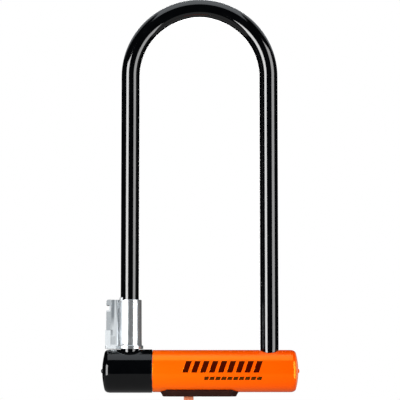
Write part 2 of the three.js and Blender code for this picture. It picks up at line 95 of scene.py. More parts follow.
# Bracket adapter
SHELL_LOW, SHELL_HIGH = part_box("adapter_sleeve")
RAIL_LOW, RAIL_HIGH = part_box("adapter_rail")
ADAPTER_LEG = Vector((-LEG_X, 0, 0))
ADAPTER_BORE = COAT_R + 0.25 * MM
SHELL_R = 10.15 * MM
SHELL_TOP = RAIL_HIGH.z
FLANGE_R = 11.4 * MM
FLANGE_TOP = RAIL_LOW.z - 0.3 * MM
SLIT = 0.6 * MM  # half the gap between the clamp's two sides
RAIL_IN_X = RAIL_LOW.x + 4.3 * MM  # inner side of the rail's head plate
GRIP_LOW = RAIL_LOW.z + 12.5 * MM
NOTCH_LOW = RAIL_LOW.z + 29 * MM
NOTCH_HIGH = RAIL_HIGH.z - 4.7 * MM
PAD_LOW = (RAIL_IN_X + 0.2 * MM, RAIL_LOW.z + 0.8 * MM)
PAD_HIGH = (RAIL_IN_X + 4.0 * MM, RAIL_LOW.z + 7.4 * MM)
SLOT_LOW = (RAIL_IN_X + 0.1 * MM, RAIL_LOW.z + 8.2 * MM)
SLOT_HIGH = (RAIL_IN_X + 1.6 * MM, RAIL_LOW.z + 13.0 * MM)

# Dust cover and shutter
DUST_LOW, DUST_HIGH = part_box("dust_cover_frame")
SHUTTER_LOW, SHUTTER_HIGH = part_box("dust_shutter")
SHUTTER_TRAVEL = next(j["range_m"][1] for j in frame["joints"] if j["name"] == "shutter_slide")
SLIDE_GAP = 0.3 * MM
PLATE_LOW = SHUTTER_HIGH.z - 1.2 * MM
TAB_LOW_X = -13.15 * MM
TAB_HIGH_X = -5.05 * MM
TAB_HALF = 2.6 * MM
KEYHOLE_R = 6.5 * MM
POST_X = 27.6 * MM
POST_R = 2.4 * MM

# Printed decoration on the crossbar's cover
PRINT_LOW = Vector((-14.0 * MM, 0, -1.2 * MM))
PRINT_HIGH = Vector((52.4 * MM, 0, 8.4 * MM))
PRINT_BARS = 9
PRINT_SLANT = 0.35  # sideways lean of a bar for each unit of its height
BAR_SHARE = 0.64  # of the pitch of the bars
RULE_X = (4.0 * MM, 52.4 * MM)
RULE_Z = (-7.4 * MM, -4.6 * MM)
DASHES_PER_BAR = 1.5
DASH_SHARE = 0.8  # of the pitch of the dashes


# ---------------------------------------------------------------- shader nodes
def link_or_set(tree, socket, value):
    if isinstance(value, bpy.types.NodeSocket):
        tree.links.new(value, socket)
    else:
        socket.default_value = value


def add_node(tree, kind, settings=(), **inputs):
    """A shader node with its settings and inputs. An input is a number, a colour or an output."""
    node = tree.nodes.new(kind)
    for name, value in dict(settings).items():
        setattr(node, name, value)
    for name, value in inputs.items():
        link_or_set(tree, node.inputs[name.replace("_", " ")], value)
    return node


def math_node(tree, operation, *values):
    node = add_node(tree, "ShaderNodeMath", {"operation": operation})
    for socket, value in zip(node.inputs, values):
        link_or_set(tree, socket, value)
    return node.outputs[0]


def product(tree, *values):
    """The first value, an output, times all the others."""
    result = values[0]
    for value in values[1:]:
        result = math_node(tree, "MULTIPLY", result, value)
    return result


def between(tree, value, low, high):
    """1 where value lies between low and high, and 0 elsewhere."""
    above = math_node(tree, "GREATER_THAN", value, low)
    below = math_node(tree, "LESS_THAN", value, high)
    return product(tree, above, below)


def mix_colour(tree, factor, first, second):
    node = add_node(tree, "ShaderNodeMix", {"data_type": "RGBA"})
    link_or_set(tree, node.inputs[0], factor)
    link_or_set(tree, node.inputs[6], first)
    link_or_set(tree, node.inputs[7], second)
    return node.outputs[2]


def mixed_shader(tree, factor, first, second):
    node = add_node(tree, "ShaderNodeMixShader")
    for socket, source in zip(node.inputs, (factor, first.outputs[0], second.outputs[0])):
        tree.links.new(source, socket)
    return node


def spread(tree, value, low, high, from_low=0.3, from_high=0.7):
    """value, mostly between from_low and from_high as noise is, mapped to low..high."""
    node = add_node(tree, "ShaderNodeMapRange", Value=value)
    node.inputs["From Min"].default_value = from_low
    node.inputs["From Max"].default_value = from_high
    node.inputs["To Min"].default_value = low
    node.inputs["To Max"].default_value = high
    return node.outputs[0]


def mottled(tree, pattern, first, second):
    """Two colours mixed by a noise."""
    return mix_colour(tree, spread(tree, pattern, 0, 1), first, second)


def place(tree):
    """The point on the piece in the CAD's frame, in metres."""
    return add_node(tree, "ShaderNodeTexCoord").outputs["Object"]


def axes_of(tree):
    """The point's X, Y and Z as outputs."""
    return add_node(tree, "ShaderNodeSeparateXYZ", Vector=place(tree)).outputs


def stretched(tree, along):
    """The point on the piece with its axes scaled, which draws a pattern out along one."""
    return add_node(tree, "ShaderNodeMapping", Vector=place(tree), Scale=along).outputs[0]


def noise(tree, scale, detail=3.0, vector=None):
    vector = place(tree) if vector is None else vector
    return add_node(tree, "ShaderNodeTexNoise", Vector=vector, Scale=scale, Detail=detail).outputs["Fac"]


def bump(tree, height, distance, normal=None):
    """Relief of that height in metres, laid on top of an earlier one if there is one."""
    node = add_node(tree, "ShaderNodeBump", Height=height, Distance=distance)
    node.inputs["Strength"].default_value = 1.0
    if normal is not None:
        tree.links.new(normal, node.inputs["Normal"])
    return node.outputs[0]


def material(name, **sockets):
    """A new material with its shader's own sockets set. Gives the material, its tree and the shader."""
    made = bpy.data.materials.new(name)
    made.use_nodes = True
    shader = made.node_tree.nodes["Principled BSDF"]
    for socket, value in sockets.items():
        shader.inputs[socket.replace("_", " ")].default_value = value
    return made, made.node_tree, shader


def shade(colour, factor):
    return (colour[0] * factor, colour[1] * factor, colour[2] * factor, 1.0)


def drive(tree, shader, **values):
    for socket, value in values.items():
        tree.links.new(value, shader.inputs[socket.replace("_", " ")])


# ---------------------------------------------------------------- materials
def black_vinyl(name, gloss):
    """Dipped vinyl: deep gloss with the slight waves of a coat that ran as it cured."""
    made, tree, shader = material(name, IOR=gloss)
    flow = noise(tree, 60, 1.0, stretched(tree, (1, 1, 0.25)))
    grain = noise(tree, 1800, 2.0)
    rubbed = noise(tree, 90, 5.0)
    deep = (0.0004, 0.0005, 0.0008, 1)
    dusty = (0.001, 0.0012, 0.0016, 1)
    tint = mottled(tree, rubbed, deep, dusty)
    relief = bump(tree, grain, 0.0005 * MM, bump(tree, flow, 0.03 * MM))
    drive(tree, shader, Base_Color=tint, Roughness=spread(tree, rubbed, 0.05, 0.1), Normal=relief)
    return made


def printed_bars(tree):
    """Plain decoration on the front of the crossbar: a row of slanted bars over a broken rule."""
    axes = axes_of(tree)
    front = math_node(tree, "LESS_THAN", axes["Y"], 0.0)
    lean = math_node(tree, "MULTIPLY", axes["Z"], PRINT_SLANT)
    from_left = math_node(tree, "SUBTRACT", axes["X"], lean)
    from_left = math_node(tree, "SUBTRACT", from_left, PRINT_LOW.x)
    pitch = (PRINT_HIGH.x - PRINT_LOW.x) / PRINT_BARS
    along = math_node(tree, "DIVIDE", from_left, pitch)
    bar = math_node(tree, "LESS_THAN", math_node(tree, "FRACT", along), BAR_SHARE)
    row_length = between(tree, along, 0.0, PRINT_BARS)
    row_height = between(tree, axes["Z"], PRINT_LOW.z, PRINT_HIGH.z)
    bars = product(tree, bar, row_length, row_height)
    dash_along = math_node(tree, "MULTIPLY", along, DASHES_PER_BAR)
    dash = math_node(tree, "LESS_THAN", math_node(tree, "FRACT", dash_along), DASH_SHARE)
    rule_length = between(tree, axes["X"], *RULE_X)
    rule_height = between(tree, axes["Z"], *RULE_Z)
    rule = product(tree, dash, rule_length, rule_height)
    return product(tree, front, math_node(tree, "MAXIMUM", bars, rule))


def orange_vinyl():
    """Satin vinyl sleeve with a fine moulded grain, a little redder to the right, and the printed
    bars. The highlights' tint keeps the ink's sheen from looking grey."""
    made, tree, shader = material("orange_vinyl", IOR=1.95, Specular_Tint=(1.0, 0.8, 0.05, 1.0))
    base = (0.95, 0.112, 0.001)
    redder = (0.95, 0.075, 0.0, 1)
    ink_deep = (0.035, 0.0, 0.0, 1)
    ink_worn = (0.055, 0.0, 0.0, 1)
    cloud = noise(tree, 45, 4.0)
    grain = noise(tree, 2600, 3.0)
    flow = noise(tree, 70, 1.0)
    tint = mottled(tree, cloud, shade(base, 0.96), shade(base, 1.04))
    rightward = spread(tree, axes_of(tree)["X"], 0.0, 1.0, SEAM_X, TIP_X)
    tint = mix_colour(tree, rightward, tint, redder)
    mask = printed_bars(tree)
    ink = mottled(tree, noise(tree, 900), ink_deep, ink_worn)
    relief = bump(tree, grain, 0.0015 * MM, bump(tree, flow, 0.03 * MM))
    relief = bump(tree, mask, 0.02 * MM, relief)
    drive(
        tree,
        shader,
        Base_Color=mix_colour(tree, mask, tint, ink),
        Roughness=spread(tree, cloud, 0.14, 0.22),
        Normal=relief,
    )
    return made


def silver_shell():
    """Bright metallised plastic: nearly a mirror, with fine drawn lines up and down."""
    made, tree, shader = material("silver_shell", Metallic=0.9, IOR=1.5)
    lines = noise(tree, 900, 2.0, stretched(tree, (1, 1, 0.02)))
    haze = noise(tree, 150, 4.0)
    tint = mottled(tree, haze, (0.8, 0.84, 0.88, 1), (0.87, 0.9, 0.93, 1))
    drive(
        tree,
        shader,
        Base_Color=tint,
        Roughness=spread(tree, haze, 0.18, 0.24),
        Normal=bump(tree, lines, 0.0006 * MM),
    )
    return made


def streak(tree, axes, foot, top, width, strength):
    """A soft streak between two points (x, z), full at the top and faded out at its foot."""
    lean = (top[0] - foot[0]) / (top[1] - foot[1])
    middle = math_node(tree, "MULTIPLY_ADD", axes["Z"], lean, foot[0] - foot[1] * lean)
    off = math_node(tree, "ABSOLUTE", math_node(tree, "SUBTRACT", axes["X"], middle))
    across = spread(tree, off, strength, 0.0, 0.3 * width, width)
    fade = spread(tree, axes["Z"], 0.0, 1.0, foot[1], (foot[1] + top[1]) / 2)
    return product(tree, across, fade)


def patch(tree, axes, low, high, strength):
    """An even patch between two corners (x, z)."""
    across = between(tree, axes["X"], low[0], high[0])
    upward = between(tree, axes["Z"], low[1], high[1])
    return product(tree, across, upward, strength)


def rail_painted_shade(tree):
    """Painted shade on the clear rail, laid where it shows dark refraction: grey patches over the grip zone and
    tooth, the web, the pin slot and the pad, and two tapered streaks in the web, where the mould's cores stood,
    painted in place of the dark lines those cores refract."""
    axes = axes_of(tree)
    x = RAIL_IN_X
    out = RAIL_LOW.x - MM
    top = RAIL_HIGH.z
    above = top + MM
    # Each mark is painted shade that stands in for dark refraction in the clear rail.
    marks = [
        patch(tree, axes, (out, GRIP_LOW), (x, NOTCH_LOW - 0.8 * MM), 0.5),
        patch(tree, axes, (out, NOTCH_HIGH), (x, above), 0.5),
        patch(tree, axes, (x, RAIL_LOW.z), (-LEG_X, above), 0.2),
        patch(tree, axes, (SLOT_LOW[0] + 0.1 * MM, SLOT_LOW[1]), SLOT_HIGH, 0.65),
        patch(tree, axes, PAD_LOW, PAD_HIGH, 0.38),
        streak(tree, axes, (x + 1.2 * MM, top - 27 * MM), (x + 1.9 * MM, top), 2.2 * MM, 0.85),
        streak(tree, axes, (x + 6.6 * MM, top - 28 * MM), (x + 4.7 * MM, top), 1.3 * MM, 0.65),
    ]
    painted_shade = marks[0]
    for mark in marks[1:]:
        painted_shade = math_node(tree, "MAXIMUM", painted_shade, mark)
    return painted_shade


def clear_plastic():
    """Clear polycarbonate with a little flow and haze in it, and painted shade where the rail shows dark
    refraction.
    """
    made, tree, shader = material("clear_plastic", Transmission_Weight=1.0, IOR=1.5)
    haze = noise(tree, 300, 3.0)
    flow = noise(tree, 120, 1.0)
    tint = mottled(tree, haze, (0.8, 0.83, 0.85, 1), (0.86, 0.89, 0.91, 1))
    # The colour of the painted shade on the rail.
    painted_shade_tint = (0.12, 0.14, 0.155, 1)
    drive(
        tree,
        shader,
        Base_Color=mix_colour(tree, rail_painted_shade(tree), tint, painted_shade_tint),
        Roughness=spread(tree, haze, 0.02, 0.08),
        Normal=bump(tree, flow, 0.01 * MM),
    )
    return made


def moulded_plastic(name, base, gloss):
    """Spark-eroded grain on a moulded plastic, polished a little where it is handled."""
    made, tree, shader = material(name, Specular_IOR_Level=gloss)
    grain = noise(tree, 3500, 2.0)
    handled = noise(tree, 120, 4.0)
    tint = mottled(tree, handled, shade(base, 0.85), shade(base, 1.15))
    drive(
        tree,
        shader,
        Base_Color=tint,
        Roughness=spread(tree, handled, 0.32, 0.5),
        Normal=bump(tree, grain, 0.012 * MM),
    )
    return made


def worked_metal(name, base, dulled, along, depth_mm):
    """Metal with tool marks drawn out along one axis, its roughness patchy between two values."""
    made, tree, shader = material(name, Metallic=1.0)
    marks = noise(tree, 1300, 3.0, stretched(tree, along))
    patches = noise(tree, 160, 5.0)
    tint = mottled(tree, patches, shade(base, 0.8), shade(base, 1.08))
    drive(
        tree,
        shader,
        Base_Color=tint,
        Roughness=spread(tree, patches, *dulled),
        Normal=bump(tree, marks, depth_mm * MM),
    )
    return made


MATERIALS = {
    "hard_steel": worked_metal("hard_steel", (0.42, 0.43, 0.45), (0.22, 0.4), (1, 1, 0.1), 0.006),
    "plated_steel": worked_metal("plated_steel", (0.62, 0.63, 0.66), (0.16, 0.3), (1, 0.2, 1), 0.004),
    "zinc": worked_metal("zinc", (0.4, 0.41, 0.43), (0.4, 0.6), (1, 1, 1), 0.02),
    "brass": worked_metal("brass", (0.72, 0.5, 0.2), (0.2, 0.35), (1, 1, 0.1), 0.005),
    "black_vinyl": black_vinyl("black_vinyl", 1.72),
    "boot_vinyl": black_vinyl("boot_vinyl", 1.5),
    "orange_vinyl": orange_vinyl(),
    "silver_shell": silver_shell(),
    "clear_plastic": clear_plastic(),
    "black_plastic": moulded_plastic("black_plastic", (0.022, 0.008, 0.006), 0.05),
    "orange_plastic": moulded_plastic("orange_plastic", (0.48, 0.137, 0.06), 0.5),
}


# ---------------------------------------------------------------- mesh building
def sharpen(piece, angle=40):
    """Shades the edges that bend by more than angle degrees sharp."""
    piece.data.set_sharp_from_angle(angle=math.radians(angle))


def shade_smooth(piece, angle=40):
    polygons = piece.data.polygons
    polygons.foreach_set("use_smooth", [True] * len(polygons))
    sharpen(piece, angle)


def loose(name, bm):
    """A plain mesh object made of bm. Tools for cutting and joining stay like this."""
    bmesh.ops.recalc_face_normals(bm, faces=bm.faces)
    mesh = bpy.data.meshes.new(name)
    bm.to_mesh(mesh)
    bm.free()
    made = bpy.data.objects.new(name, mesh)
    bpy.context.scene.collection.objects.link(made)
    return made


def finished(name, bm, body, slot, replaces=(), look=None):
    """Turns bm into a smooth-shaded piece that rides on body and stands for the CAD nodes in
    replaces. look is its material where that isn't simply the slot's."""
    piece = loose(name, bm)
    piece.data.materials.append(MATERIALS[look or slot])
    shade_smooth(piece)
    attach(piece, body)
    if replaces:
        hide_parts(*replaces)
    return piece


def add_ring(bm, points):
    return [bm.verts.new(p) for p in points]


def bridge(bm, first, second):
    """Quads between two closed rings of the same number of points."""
    count = len(first)
    for i in range(count):
        j = (i + 1) % count
        bm.faces.new((first[i], first[j], second[j], second[i]))


def loft(bm, rings, closed=False):
    """A skin through rings of points in order, capped at both ends or closed into a ring itself."""
    rings = [add_ring(bm, ring) for ring in rings]
    for first, second in zip(rings, rings[1:]):
        bridge(bm, first, second)
    if closed:
        bridge(bm, rings[-1], rings[0])
    else:
        bm.faces.new(rings[0])
        bm.faces.new(rings[-1])


def turn(index, count=ROUND):
    """The angle of one of count even steps round a circle."""
    return 2 * math.pi * index / count


def shares(count, first=0):
    """Even steps up to 1, from first / count."""
    return [i / count for i in range(first, count + 1)]


def unit(angle):
    """The direction at that angle from X in the XY plane."""
    return Vector((math.cos(angle), math.sin(angle), 0))


def settle(piece):
    """Makes the result of the piece's modifiers its own mesh."""
    bpy.context.view_layer.update()
    graph = bpy.context.evaluated_depsgraph_get()
    mesh = bpy.data.meshes.new_from_object(piece.evaluated_get(graph))
    old = piece.data
    piece.modifiers.clear()
    piece.data = mesh
    mesh.name = piece.name
    bpy.data.meshes.remove(old)


def cut_with(piece, cutters, operation="DIFFERENCE"):
    """Cuts the piece with each cutter, or joins them on, and removes them."""
    for cutter in cutters:
        modifier = piece.modifiers.new("cut", "BOOLEAN")
        modifier.operation = operation
        modifier.solver = "EXACT"
        modifier.object = cutter
    settle(piece)
    for cutter in cutters:
        bpy.data.meshes.remove(cutter.data)


def roll_edges(piece, width, segments, angle):
    """Puts a bevel on the edges that bend by more than angle degrees."""
    rolled = piece.modifiers.new("rolled_edges", "BEVEL")
    rolled.width = width
    rolled.segments = segments
    rolled.limit_method = "ANGLE"
    rolled.angle_limit = math.radians(angle)
    return rolled


def soften(piece, width, segments=4, angle=35):
    """Rolls the piece's sharp edges and keeps its flats flat."""
    roll_edges(piece, width, segments, angle)
    flats = piece.modifiers.new("flat_faces", "WEIGHTED_NORMAL")
    flats.keep_sharp = True
    flats.weight = 80
    settle(piece)


def upright(point, level):
    return Vector((point.x, point.y, level))


def sideways(point, level):
    return Vector((point.x, level, point.y))


def rounded_outline(corners, radius, steps=6):
    """Points round a convex outline whose corners are rolled by radius."""
    points = []
    count = len(corners)
    for i, corner in enumerate(corners):
        back = (corners[i - 1] - corner).normalized()
        ahead = (corners[(i + 1) % count] - corner).normalized()
        half_turn = back.angle(ahead) / 2
        reach = radius / math.tan(half_turn)
        start = corner + back * reach
        middle = corner + (back + ahead).normalized() * (radius / math.sin(half_turn))
        first = start - middle
        last = corner + ahead * reach - middle
        sweep = first.angle_signed(last)
        for k in range(steps + 1):
            angle = -sweep * k / steps
            turned = Vector((
                first.x * math.cos(angle) - first.y * math.sin(angle),
                first.x * math.sin(angle) + first.y * math.cos(angle),
            ))
            points.append(middle + turned)
    return points


def rolled_corner(x, y, radius, start, steps=5):
    """Points of a quarter round about (x, y), from the angle start and onwards."""
    angles = [start + math.pi / 2 * k / steps for k in range(steps + 1)]
    return [(x + radius * math.cos(a), y + radius * math.sin(a)) for a in angles]


def prism(outline, low, high, to_space):
    """A closed prism on a flat outline. to_space puts an outline point and a height into the frame."""
    bm = bmesh.new()
    loft(bm, [[to_space(p, level) for p in outline] for level in (low, high)])
    return bm


def block(low, high):
    bm = bmesh.new()
    bmesh.ops.create_cube(bm, size=1)
    for vert in bm.verts:
        vert.co = Vector(low[k] + (vert.co[k] + 0.5) * (high[k] - low[k]) for k in range(3))
    return loose("block", bm)


def disc_prism(radius, middle, low, high, count=64):
    """A plain upright cylinder, for cutting or joining."""
    centre_line = Vector((middle[0], middle[1], 0))
    circle = [centre_line + radius * unit(turn(i, count)) for i in range(count)]
    return loose("disc_prism", prism(circle, low, high, upright))


def oval_rod(half, left, right, middle=Vector((0, 0, 0))):
    """A plain rod of oval section along X, for cutting."""
    section = [(half.y * math.cos(turn(i)), half.z * math.sin(turn(i))) for i in range(ROUND)]
    bm = bmesh.new()
    loft(bm, [[middle + Vector((x, y, z)) for y, z in section] for x in (left, right)])
    return loose("oval_rod", bm)


def revolve(bm, profile, middle, count=ROUND):
    """A closed ring of the closed profile of (radius, height) round the upright line through middle."""
    rings = []
    for i in range(count):
        out = unit(turn(i, count))
        rings.append([middle + out * r + Vector((0, 0, z)) for r, z in profile])
    loft(bm, rings, closed=True)


# ---------------------------------------------------------------- shackle
def leg_rows(low, first, count):
    """Heights of a leg's rings below the arch. The lowest is first above low."""
    return [low + first + i * (SPRING_Z - low) / count for i in range(count)]


def shackle_stations(rows):
    """Centre and outward direction of each ring from the left foot, round the arch, to the right."""
    left = [(Vector((-LEG_X, 0, z)), Vector((-1, 0, 0))) for z in rows]
    arch = []
    for i in range(ARCH_STEPS + 1):
        angle = math.pi * (1 - i / ARCH_STEPS)
        out = Vector((math.cos(angle), 0, math.sin(angle)))
        arch.append((Vector((0, 0, SPRING_Z)) + LEG_X * out, out))
    right = [(Vector((LEG_X, 0, z)), Vector((1, 0, 0))) for z in reversed(rows)]
    return left + arch + right


def shackle_ring(station, radius):
    middle, out = station
    return [
        middle + radius * (math.cos(turn(i)) * out + math.sin(turn(i)) * Vector((0, 1, 0)))
        for i in range(ROUND)
    ]


def saddle_ring(side, radius, lift):
    """A ring round a leg that follows the top of the crossbar's tube, that far above it."""
    ring = []
    for i in range(ROUND):
        x = side * LEG_X + side * radius * math.cos(turn(i))
        y = radius * math.sin(turn(i))
        z = TUBE.z * math.sqrt(1 - (y / TUBE.y) ** 2) + lift
        ring.append(Vector((x, y, z)))
    return ring


def shackle_coat():
    """The vinyl coat as a closed tube, its ends rolled in to the bar just above the crossbar."""
    roll = 0.5 * MM
    bore = BAR_R + 0.15 * MM
    clear = 0.35 * MM

    def foot(side):
        rings = [saddle_ring(side, COAT_R, clear + roll)]
        for share in shares(4, 1):
            angle = share * math.pi / 2
            radius = COAT_R - roll * (1 - math.cos(angle))
            rings.append(saddle_ring(side, radius, clear + roll * (1 - math.sin(angle))))
        return rings + [saddle_ring(side, bore, clear)]

    stations = shackle_stations(leg_rows(TUBE.z, 3 * MM, 24))
    outside = [shackle_ring(s, COAT_R) for s in stations]
    inside = [shackle_ring(s, bore) for s in stations]
    bm = bmesh.new()
    loft(bm, foot(-1)[::-1] + outside + foot(1) + inside[::-1], closed=True)
    return finished("shackle_coat", bm, "shackle", "black_vinyl", ["shackle_sleeve"])


def shackle_notches():
    """Tools for the notches that the deadbolts enter, with a little room round the bolt."""
    bolt_low, bolt_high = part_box("deadbolt_right")
    slack = 0.6 * MM
    depth = 6 * MM
    notches = []
    for side in (-1, 1):
        ends = sorted((side * (LEG_X - BAR_R - MM), side * (LEG_X - BAR_R + depth)))
        low = (ends[0], -BAR_R - MM, bolt_low.z - slack)
        high = (ends[1], BAR_R + MM, bolt_high.z + slack)
        notches.append(block(low, high))
    return notches


def shackle_steel():
    """The bar, with chamfered feet and their notches."""
    foot_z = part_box("shackle_bar")[0].z
    chamfer = 1.5 * MM
    stations = shackle_stations(leg_rows(foot_z, chamfer, 12))
    tip = [(Vector((side * LEG_X, 0, foot_z)), Vector((side, 0, 0))) for side in (-1, 1)]
    rings = [shackle_ring(tip[0], BAR_R - chamfer)]
    rings += [shackle_ring(s, BAR_R) for s in stations]
    rings += [shackle_ring(tip[1], BAR_R - chamfer)]
    bm = bmesh.new()
    loft(bm, rings)
    bar = finished("shackle_steel", bm, "shackle", "hard_steel", ["shackle_bar"])
    cut_with(bar, shackle_notches())
    sharpen(bar, 30)
    return bar


# ---------------------------------------------------------------- crossbar covers
def oval_turns(half, reach):
    """Angles round an oval: PATCH_STEPS of them over the opening's patch, then the rest."""
    bend = math.asin(reach / half.y)
    rest = 2 * math.pi - 2 * bend
    turns = [math.pi / 2 - bend + 2 * bend * j / PATCH_STEPS for j in range(PATCH_STEPS)]
    turns += [math.pi / 2 + bend + rest * j / PLAIN_STEPS for j in range(PLAIN_STEPS)]
    return turns


def rows_round_opening(rows, hole_x, reach):
    """The rows with those near the opening swapped for its patch's, and how many come before."""
    steps = range(PATCH_STEPS + 1)
    patch_rows = [(hole_x - reach + 2 * reach * i / PATCH_STEPS, 1.0) for i in steps]
    if rows[0][0] > rows[-1][0]:
        patch_rows.reverse()
    clear = [row for row in rows if abs(row[0] - hole_x) > reach]
    before = [row for row in clear if (row[0] - hole_x) * (rows[0][0] - hole_x) > 0]
    return before + patch_rows + clear[len(before) :], len(before)


def patch_outline(grid, first):
    """The grid's points round the square patch that starts at row first."""
    steps = PATCH_STEPS
    square = [grid[first + i][0] for i in range(steps)]
    square += [grid[first + steps][j] for j in range(steps)]
    square += [grid[first + steps - i][steps] for i in range(steps)]
    square += [grid[first][steps - j] for j in range(steps)]
    return square


def opening_rings(spokes, half, hole_r, fillet, floor_scale):
    """Rings of (offset from the opening's axis, height), from the patch's outline at the offsets
    spokes in to the rim, over its rolled edge and down the wall."""

    def top(y, scale=1.0):
        return half.z * scale * math.sqrt(1 - (y / (half.y * scale)) ** 2)

    rim_r = hole_r + fillet
    rings = []
    for share in shares(6, 1):
        inward = 1 - (1 - share) ** 1.5  # the rings stand closer together towards the rim
        offsets = [spoke.lerp(spoke.normalized() * rim_r, inward) for spoke in spokes]
        rings.append([(offset, top(offset.y)) for offset in offsets])
    for share in shares(5, 1):
        angle = share * math.pi / 2
        drop = fillet * (1 - math.cos(angle))
        offsets = [spoke.normalized() * (rim_r - fillet * math.sin(angle)) for spoke in spokes]
        rings.append([(offset, top(offset.y) - drop) for offset in offsets])
    offsets = [spoke.normalized() * hole_r for spoke in spokes]
    rings.append([(offset, top(offset.y, floor_scale)) for offset in offsets])
    return rings


def oval_skin(bm, half, rows, hole_x, hole_r, fillet, floor_scale):
    """One closed skin round the crossbar along rows of (x, scale), with a round upright opening in
    its top at hole_x. The opening's edge is rolled by fillet, then runs down to the oval scaled by
    floor_scale. Gives the first row's ring, the last row's ring and the ring at the foot of the
    opening's wall."""
    reach = hole_r + 3 * MM
    turns = oval_turns(half, reach)
    rows, first = rows_round_opening(rows, hole_x, reach)
    grid = [
        add_ring(bm, [Vector((x, half.y * s * math.cos(t), half.z * s * math.sin(t))) for t in turns])
        for x, s in rows
    ]
    count = len(turns)
    for i in range(len(grid) - 1):
        for j in range(count):
            if first <= i < first + PATCH_STEPS and j < PATCH_STEPS:
                continue
            k = (j + 1) % count
            bm.faces.new((grid[i][j], grid[i][k], grid[i + 1][k], grid[i + 1][j]))
    previous = patch_outline(grid, first)
    spokes = [Vector((v.co.x - hole_x, v.co.y)) for v in previous]
    for ring in opening_rings(spokes, half, hole_r, fillet, floor_scale):
        ring = add_ring(bm, [Vector((hole_x + offset.x, offset.y, z)) for offset, z in ring])
        bridge(bm, previous, ring)
        previous = ring
    return grid[0], grid[-1], previous


def end_rows(half, seam_x, tip_x):
    """Rows of (x, scale) from the seam to the closed end: a rolled lip, the straight wall, the long
    rolled rim, the shallow dome and the small nub where the moulding was cut off."""
    way = 1 if tip_x > seam_x else -1
    lip = 0.5 * MM
    nub_height = 1.1 * MM
    nub_r = 1.8 * MM
    rim_length = 4.6 * MM
    rim_depth = 3.0 * MM
    rim_turn = math.radians(80)
    sag = 2.0 * MM
    straight_steps = 30
    nub_end = 0.02  # share of the nub's radius that is left flat at its end
    face_x = tip_x - way * nub_height
    rim_x = face_x - way * (sag + rim_length * math.sin(rim_turn))
    rows = []
    for share in shares(4):
        angle = (1 - share) * math.pi / 2
        shrunk = lip / half.z * (1 - math.cos(angle))
        rows.append((seam_x + way * lip * (1 - math.sin(angle)), 1 - shrunk))
    start = rows[-1][0]
    for i in range(1, straight_steps):
        rows.append((start + (rim_x - start) * i / straight_steps, 1.0))
    for share in shares(16):
        angle = share * rim_turn
        shrunk = rim_depth / half.z * (1 - math.cos(angle))
        rows.append((rim_x + way * rim_length * math.sin(angle), 1 - shrunk))
    edge_x, edge_scale = rows[-1]
    nub_scale = nub_r / half.z
    for share in shares(14, 1):
        scale = edge_scale + (nub_scale - edge_scale) * share
        rise = 1 - (scale**2 - nub_scale**2) / (edge_scale**2 - nub_scale**2)
        rows.append((edge_x + (face_x - edge_x) * rise, scale))
    for share in shares(6, 1):
        angle = share * math.pi / 2
        scale = nub_scale * max(math.cos(angle), nub_end)
        rows.append((face_x + way * nub_height * math.sin(angle), scale))
    return rows


def crossbar_skin(name, node, half, seam_x, tip_x, hole_x, slot, look=None):
    """A cover: its outside, the opening for a leg, and an inner wall just outside the tube."""
    way = 1 if tip_x > seam_x else -1
    hole_r = COAT_R + 0.35 * MM
    room = 0.2 * MM
    wall = half.z - TUBE.z - room
    floor_scale = (TUBE.z + room) / half.z
    fillet = 0.55 * MM
    rows = end_rows(half, seam_x, tip_x)
    bm = bmesh.new()
    seam, tip, foot = oval_skin(bm, half, rows, hole_x, hole_r, fillet, floor_scale)
    bm.faces.new(tip)
    inner = Vector((0, half.y - wall, half.z - wall))
    inner_end = way * (TUBE.x + 0.3 * MM)
    inner_rows = [(seam_x + (inner_end - seam_x) * share, 1.0) for share in shares(30)]
    fillet, floor_scale = 0.02 * MM, 0.999  # next to nothing, as this edge is hidden
    inner_rings = oval_skin(bm, inner, inner_rows, hole_x, hole_r, fillet, floor_scale)
    inner_seam, inner_tip, inner_foot = inner_rings
    bridge(bm, seam, inner_seam)
    bm.faces.new(inner_tip)
    bridge(bm, foot, inner_foot)
    return finished(name, bm, "crossbar", slot, [node], look)


def orange_cover():
    """The orange sleeve, open below round the keyhole and for the dust cover's two posts."""
    cover = crossbar_skin(
        "orange_cover", "crossbar_cover", COVER, SEAM_X, TIP_X, LEG_X, "orange_vinyl"
    )
    post_hole = POST_R + 0.3 * MM
    openings = [(0.0, KEYHOLE_R + 1.5 * MM), (-POST_X, post_hole), (POST_X, post_hole)]
    below = -COVER.z - MM
    cut_with(cover, [disc_prism(r, (x, 0), below, -TUBE.z + 2 * MM) for x, r in openings])
    sharpen(cover)
    return cover


def black_boot():
    """The black cover over the left end. Its gloss is a little less than the shackle's."""
    tip, seam = (corner.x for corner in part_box("end_boot"))
    return crossbar_skin(
        "black_boot", "end_boot", BOOT, seam, tip, -LEG_X, "black_vinyl", "boot_vinyl"
    )


